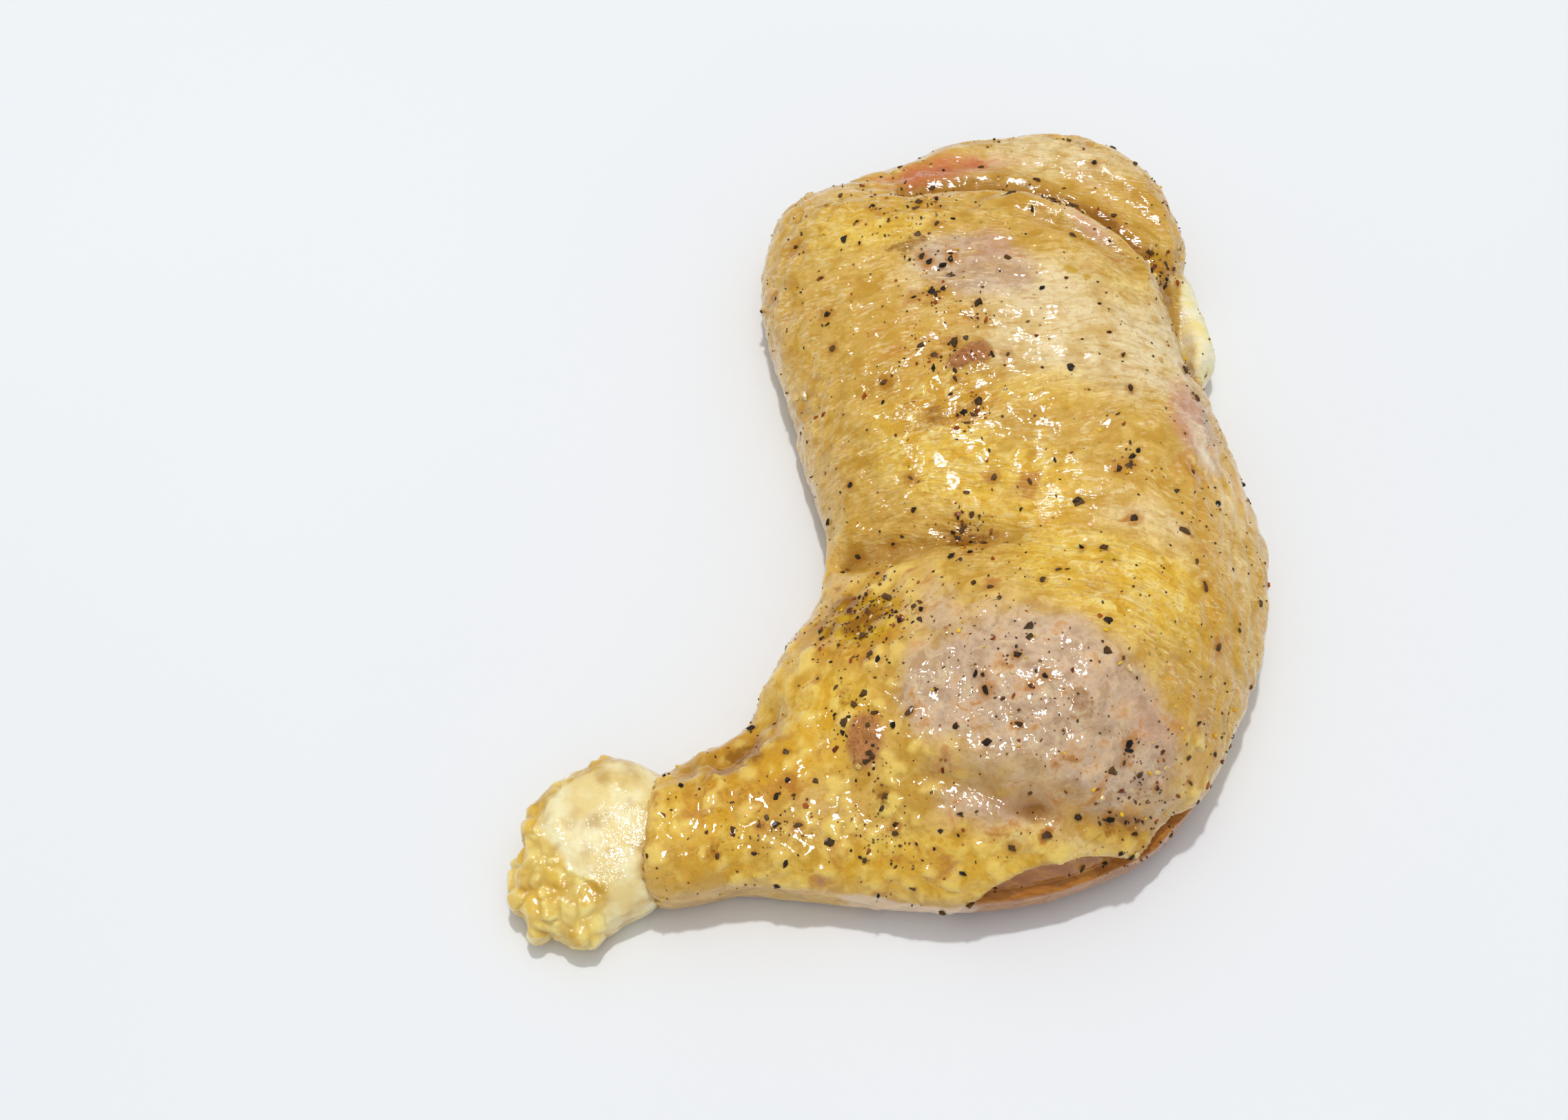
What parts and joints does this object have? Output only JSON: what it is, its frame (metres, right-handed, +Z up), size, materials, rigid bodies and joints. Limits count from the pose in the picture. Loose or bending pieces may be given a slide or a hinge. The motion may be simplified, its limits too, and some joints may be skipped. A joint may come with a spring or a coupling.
{
  "type": "chicken leg quarter",
  "caption": "Raw marinated chicken leg quarter lying skin side up: broad thigh, bulging drumstick tapering to a hock knob, coarse pepper on the skin.",
  "frame": {"origin": "under the middle of the bounding box, on the plane that the leg lies on", "axes": "+Z up from the table, +Y from the drumstick towards the cut end of the thigh, +X from the hock knob towards the knee"},
  "size_m": [0.1343, 0.164, 0.0396],
  "materials": {
    "skin": "wet marinated chicken skin, pale yellow to tan, with goose bumps and pepper",
    "hock_knob": "waxy pale yellow cartilage and scaly shank skin"
  },
  "bodies": {
    "root": {"leg": "skin", "hock": "hock_knob"}
  },
  "joints": []
}
